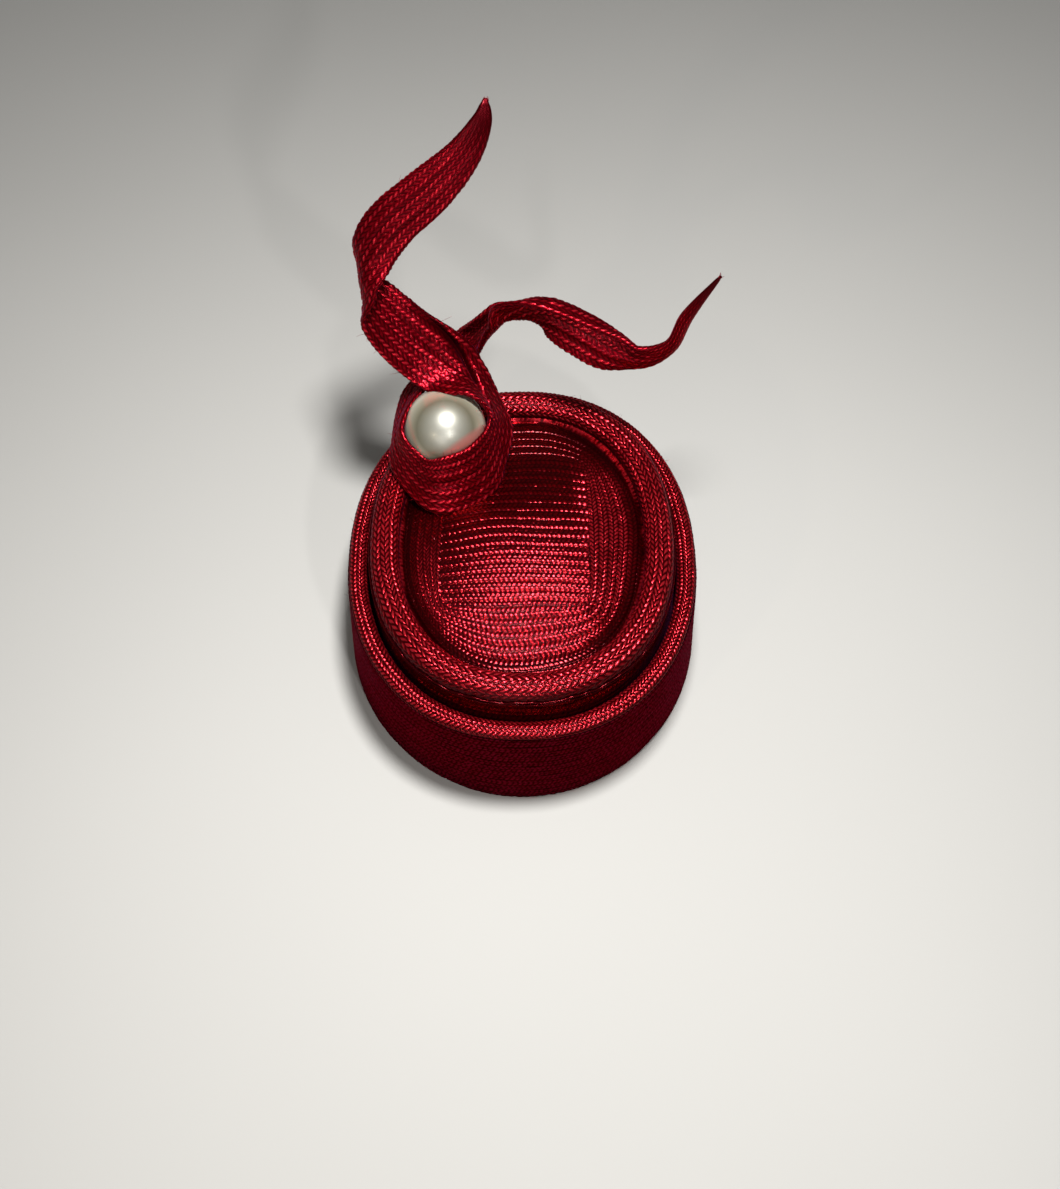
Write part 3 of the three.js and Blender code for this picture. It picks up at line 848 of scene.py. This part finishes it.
def pearl_material():
    """Ivory, with painted shade and painted reflection that darken and pale it with the angle to the
    view, and a painted reflection of the ribbon's red on the side that faces it.
    """
    material, nodes, links, shader = new_material("pearl_ivory")
    layer = nodes.new("ShaderNodeLayerWeight")
    layer.inputs["Blend"].default_value = 0.35
    # Painted shade and painted reflection that change with the angle to the view.
    body = ramp_node(nodes, links, layer.outputs["Facing"],
                     [(0.0, (0.3, 0.3, 0.265)), (0.2, (0.17, 0.16, 0.11)), (0.33, (0.38, 0.36, 0.27)),
                      (0.5, (0.66, 0.63, 0.51)), (0.85, (0.5, 0.42, 0.34))])
    place = nodes.new("ShaderNodeTexCoord")
    facing_ribbon = nodes.new("ShaderNodeVectorMath")
    facing_ribbon.operation = "DOT_PRODUCT"
    facing_ribbon.inputs[1].default_value = (0.6, -0.66, -0.44)
    links.new(place.outputs["Normal"], facing_ribbon.inputs[0])
    # Painted reflection of the ribbon on the side of the pearl that faces it.
    ribbon_reflection_mask = ramp_node(nodes, links, facing_ribbon.outputs["Value"],
                         [(0.5, (0, 0, 0)), (0.6, (0.8, 0.8, 0.8)), (1.0, (0.9, 0.9, 0.9))])
    mix = nodes.new("ShaderNodeMix")
    mix.data_type = "RGBA"
    links.new(ribbon_reflection_mask, mix.inputs["Factor"])
    links.new(body, mix.inputs[MIX_A])
    mix.inputs[MIX_B].default_value = PAINTED_RIBBON_REFLECTION
    links.new(mix.outputs[MIX_RESULT], shader.inputs["Base Color"])
    noise = nodes.new("ShaderNodeTexNoise")
    noise.inputs["Scale"].default_value = 900
    bump = nodes.new("ShaderNodeBump")
    bump.inputs["Strength"].default_value = 0.08
    bump.inputs["Distance"].default_value = 0.05 * MM
    links.new(noise.outputs[0], bump.inputs["Height"])
    links.new(bump.outputs[0], shader.inputs["Normal"])
    shader.inputs["Roughness"].default_value = 0.38
    shader.inputs["Metallic"].default_value = 0.5
    shader.inputs["Specular IOR Level"].default_value = 0.5
    shader.inputs["Coat Weight"].default_value = 1.0
    shader.inputs["Coat Roughness"].default_value = 0.36
    shader.inputs["Subsurface Weight"].default_value = 0.15
    shader.inputs["Subsurface Radius"].default_value = (0.004, 0.003, 0.002)
    return material


def pearl():
    fall = np.linspace(0.004, np.pi - 0.004, 49)
    turn = np.linspace(0, 2 * np.pi, 97)
    f, s = np.meshgrid(fall, turn[:-1], indexing="ij")
    uneven = 1 + 0.004 * np.sin(2 * s + 1) * np.sin(f) ** 2 + 0.003 * np.cos(3 * f)
    way = np.stack([np.sin(f) * np.cos(s), np.sin(f) * np.sin(s), -np.cos(f)], axis=2)
    points = pearl_centre + (PEARL_RADIUS + PEARL_PRESS) * uneven[..., None] * way
    along, across = np.meshgrid(turn, fall)
    obj = mesh_from_grid("pearl_bead", points, along, across, np.ones(f.shape))
    return finish_piece(obj, pearl_material(), "pearl", "pearl")


pearl()

# ---- Floor, light and camera ----


def floor():
    mesh = bpy.data.meshes.new("floor")
    size = 4.0
    corners = [(-size, -size, 0), (size, -size, 0), (size, size, 0), (-size, size, 0)]
    mesh.from_pydata(corners, [], [(0, 1, 2, 3)])
    obj = bpy.data.objects.new("floor", mesh)
    bpy.context.scene.collection.objects.link(obj)
    material, nodes, links, shader = new_material("pale_floor")
    noise = nodes.new("ShaderNodeTexNoise")
    noise.inputs["Scale"].default_value = 14
    greys = [(0.3, (0.40, 0.40, 0.39)), (0.7, (0.43, 0.43, 0.42))]
    colour = ramp_node(nodes, links, noise.outputs[0], greys)
    links.new(colour, shader.inputs["Base Color"])
    shader.inputs["Roughness"].default_value = 0.8
    mesh.materials.append(material)


def area_light(name, place, size, watts, colour, target):
    light = bpy.data.lights.new(name, "AREA")
    light.shape = "DISK"
    light.size = size
    light.energy = watts
    light.color = colour
    obj = bpy.data.objects.new(name, light)
    bpy.context.scene.collection.objects.link(obj)
    obj.location = place
    obj.rotation_euler = (Vector(target) - Vector(place)).to_track_quat("-Z", "Y").to_euler()


SENSOR = 36  # millimetres
FOCAL = 1.160639  # focal length over the height of the frame
AIM_RIGHT = 0.005435  # how far the middle of the frame lies off the way ahead, over the distance
AIM_DOWN = 0.023551


def camera():
    data = bpy.data.cameras.new("camera")
    data.sensor_width = SENSOR
    data.lens = SENSOR * FOCAL
    data.clip_end = 20
    obj = bpy.data.objects.new("camera", data)
    bpy.context.scene.collection.objects.link(obj)
    place = Vector((0, -0.3607, 0.5454))
    ahead = (Vector((0, -0.008, 0.060)) - place).normalized()
    right = Vector((1, 0, 0))
    up = right.cross(ahead)
    aim = ahead + right * AIM_RIGHT - up * AIM_DOWN
    obj.location = place
    obj.rotation_euler = aim.to_track_quat("-Z", "Y").to_euler()
    bpy.context.scene.camera = obj


def world():
    world = bpy.data.worlds.new("studio")
    bpy.context.scene.world = world
    world.use_nodes = True
    background = world.node_tree.nodes["Background"]
    background.inputs["Color"].default_value = (1.0, 0.99, 0.97, 1)
    background.inputs["Strength"].default_value = 0.12


floor()
camera()
world()
HAT = (0, 0, 0.06)  # where the lights point
area_light("key", (0.04, -0.09, 0.64), 0.1, 6.8, (1.0, 0.98, 0.95), HAT)
area_light("warm_left", (-0.5, -0.75, 0.55), 0.05, 0.7, (1.0, 0.85, 0.65), HAT)
area_light("front_right", (0.24, -0.72, 0.62), 0.05, 2.2, (1.0, 0.97, 0.94), HAT)
area_light("soft_front", (-0.15, -1.0, 0.4), 0.5, 1.8, (1.0, 0.96, 0.92), HAT)
bpy.context.scene.view_settings.view_transform = "Standard"
